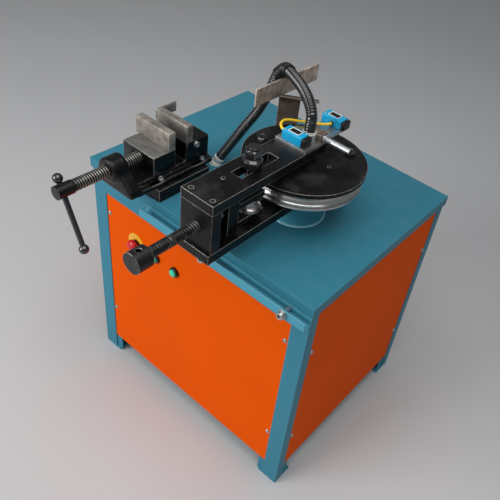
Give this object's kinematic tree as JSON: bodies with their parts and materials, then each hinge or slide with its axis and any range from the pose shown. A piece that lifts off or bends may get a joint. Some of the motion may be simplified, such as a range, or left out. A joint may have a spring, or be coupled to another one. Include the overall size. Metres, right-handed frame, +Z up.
{
  "type": "pipe bending machine",
  "caption": "Powered pipe bender: a swinging arm with a screw-fed roller bends pipe round a fixed grooved die, on a sheet steel cabinet with a screw vise.",
  "frame": {"origin": "on the floor at the centre of the cabinet's footprint, which is the centre of the four anchor holes", "axes": "+X to the right along the cabinet's front, +Y from the front to the rear, +Z up"},
  "size_m": [0.708, 0.837, 0.9843],
  "materials": {
    "teal_paint": "satin",
    "orange_paint": "satin",
    "zinc_steel": "satin",
    "yellow_plastic": "gloss",
    "black_plastic": "matte",
    "red_plastic": "gloss",
    "green_plastic": "gloss",
    "blue_plastic": "gloss",
    "white_plastic": "matte",
    "grey_plastic": "matte",
    "bronze": "satin",
    "grey_casting": "matte",
    "dark_steel": "satin",
    "machined_steel": "satin",
    "black_paint": "satin",
    "worn_steel": "matte",
    "brown_steel": "matte"
  },
  "bodies": {
    "cabinet": {"corner_legs": "teal_paint", "top_frame": "teal_paint", "bottom_frame": "teal_paint", "table_top": "teal_paint", "front_trough": "teal_paint", "bearing_boss": "teal_paint", "front_panel": "orange_paint", "rear_panel": "orange_paint", "left_panel": "orange_paint", "right_panel": "orange_paint", "panel_screws": "zinc_steel", "trough_bolts": "zinc_steel", "base_shelf": "zinc_steel", "post_bolts": "zinc_steel", "vise_bolts": "zinc_steel", "jaw_lock_screw": "zinc_steel", "estop_plate": "yellow_plastic", "estop_collar": "black_plastic", "button_bezels": "black_plastic", "conduit": "black_plastic", "conduit_gland": "white_plastic", "control_box": "grey_plastic", "boss_bushes": "bronze", "gearbox": "grey_casting", "motor": "grey_casting", "spindle_nut": "dark_steel", "spindle": "machined_steel", "bending_die": "machined_steel", "die_cover": "black_paint", "cover_bolts": "black_paint", "vise_riser": "black_paint", "vise_base": "black_paint", "fixed_jaw_plate": "worn_steel", "jaw_end_strip": "worn_steel", "flag_strip": "worn_steel", "flag_post": "brown_steel"},
    "arm": {"drive_sleeve": "dark_steel", "arm_bottom_plate": "black_paint", "arm_top_plate": "black_paint", "arm_front_block": "black_paint", "arm_bolts": "black_paint", "sensor_plate": "zinc_steel", "switch_front": "blue_plastic", "switch_rear": "blue_plastic", "switch_wire": "yellow_plastic", "proximity_sensor": "zinc_steel", "sensor_clamp": "worn_steel", "swivel_gland": "white_plastic"},
    "carriage": {"carriage_fork": "black_paint", "roller_axle": "dark_steel", "axle_nuts": "dark_steel"},
    "roller": {"pressure_roller": "machined_steel"},
    "feed_screw": {"feed_screw": "black_paint"},
    "jaw": {"moving_jaw": "black_paint", "moving_jaw_plate": "worn_steel"},
    "vise_screw": {"vise_screw": "black_paint"},
    "bar": {"tommy_bar": "dark_steel"},
    "estop": {"estop_button": "red_plastic"},
    "start": {"start_button": "green_plastic"},
    "jog": {"jog_button": "green_plastic"}
  },
  "joints": [
    {"name": "arm_swing", "type": "hinge", "parent": "cabinet", "child": "arm", "pos_m": [0.121, -0.06, 0.752], "axis": [0, 0, 1], "range_deg": [0, 180]},
    {"name": "feed_slide", "type": "slide", "parent": "arm", "child": "carriage", "axis": [0, 1, 0], "range_m": [-0.03, 0.017]},
    {"name": "feed_turn", "type": "hinge", "parent": "carriage", "child": "feed_screw", "pos_m": [0.121, -0.33, 0.8225], "axis": [0, 1, 0], "range_deg": [-1801, 1021]},
    {"name": "roller_spin", "type": "hinge", "parent": "carriage", "child": "roller", "pos_m": [0.121, -0.245, 0.81], "axis": [0, 0, 1], "continuous": true},
    {"name": "vise_jaw_slide", "type": "slide", "parent": "cabinet", "child": "jaw", "axis": [0, 1, 0], "range_m": [-0.045, 0.033]},
    {"name": "vise_screw_turn", "type": "hinge", "parent": "jaw", "child": "vise_screw", "pos_m": [-0.182, -0.279, 0.775], "axis": [0, 1, 0], "range_deg": [-2701, 1981]},
    {"name": "tommy_slide", "type": "slide", "parent": "vise_screw", "child": "bar", "axis": [-0.4067, 0, 0.9135], "range_m": [0, 0.11]},
    {"name": "estop_press", "type": "slide", "parent": "cabinet", "child": "estop", "axis": [0, 1, 0], "range_m": [0, 0.0055]},
    {"name": "start_press", "type": "slide", "parent": "cabinet", "child": "start", "axis": [0, 1, 0], "range_m": [0, 0.003], "stiffness_N_per_m": 400, "springref_m": -0.002},
    {"name": "jog_press", "type": "slide", "parent": "cabinet", "child": "jog", "axis": [0, 1, 0], "range_m": [0, 0.003], "stiffness_N_per_m": 400, "springref_m": -0.002}
  ],
  "couplings": [
    {"joint": "feed_turn", "follows": "feed_slide", "rad_per_m": 1047.2},
    {"joint": "vise_screw_turn", "follows": "vise_jaw_slide", "rad_per_m": 1047.2}
  ]
}
